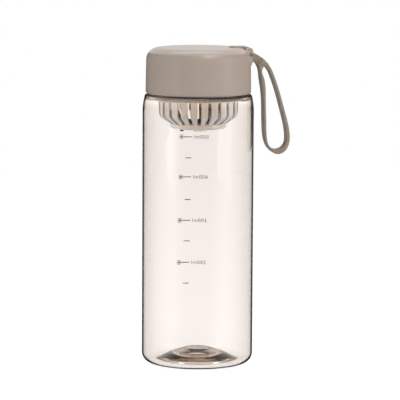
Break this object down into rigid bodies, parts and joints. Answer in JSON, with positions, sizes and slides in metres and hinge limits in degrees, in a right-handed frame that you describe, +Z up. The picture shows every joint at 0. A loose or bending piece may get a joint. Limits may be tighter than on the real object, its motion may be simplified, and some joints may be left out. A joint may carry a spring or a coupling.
{
  "type": "fruit infuser water bottle",
  "caption": "Clear cylindrical water bottle with a slotted infuser basket hanging in its neck, a matte screw lid with a seal, and a silicone carrying loop hinged on the lid.",
  "frame": {"origin": "centre of the foot ring, on the plane that the bottle stands on", "axes": "+Z up along the bottle's axis, +X towards the lid's strap lug when the lid is closed"},
  "size_m": [0.0945, 0.0712, 0.2039],
  "materials": {
    "clear_body": "clear, polished, faintly smoky pink",
    "basket_plastic": "milky translucent, satin",
    "seal_silicone": "matte translucent white silicone",
    "liner_plastic": "satin moulded",
    "lid_plastic": "soft matte taupe",
    "keeper_plastic": "soft matte taupe",
    "pin_steel": "plain ground",
    "strap_silicone": "matte silicone"
  },
  "bodies": {
    "bottle": {"bottle_body": "clear_body"},
    "strainer": {"strainer_basket": "basket_plastic"},
    "seal": {"lid_seal": "seal_silicone"},
    "lid": {"lid_shell": "lid_plastic", "lid_liner": "liner_plastic", "strap_keeper": "keeper_plastic", "strap_pin": "pin_steel"},
    "carrying_strap": {"strap": "strap_silicone"}
  },
  "joints": [
    {"name": "strainer_lift", "type": "slide", "parent": "bottle", "child": "strainer", "axis": [0, 0, 1], "range_m": [0, 0.06]},
    {"name": "lid_rise", "type": "slide", "parent": "strainer", "child": "seal", "axis": [0, 0, 1], "range_m": [0, 0.0075]},
    {"name": "lid_turn", "type": "hinge", "parent": "seal", "child": "lid", "pos_m": [0, 0, 0.197], "axis": [0, 0, 1], "range_deg": [0, 540]},
    {"name": "strap_swing", "type": "hinge", "parent": "lid", "child": "carrying_strap", "pos_m": [0.03285, 0, 0.1985], "axis": [0, -1, 0], "range_deg": [0, 115]}
  ],
  "couplings": [
    {"joint": "lid_rise", "follows": "lid_turn", "m_per_rad": 0.00079577}
  ]
}
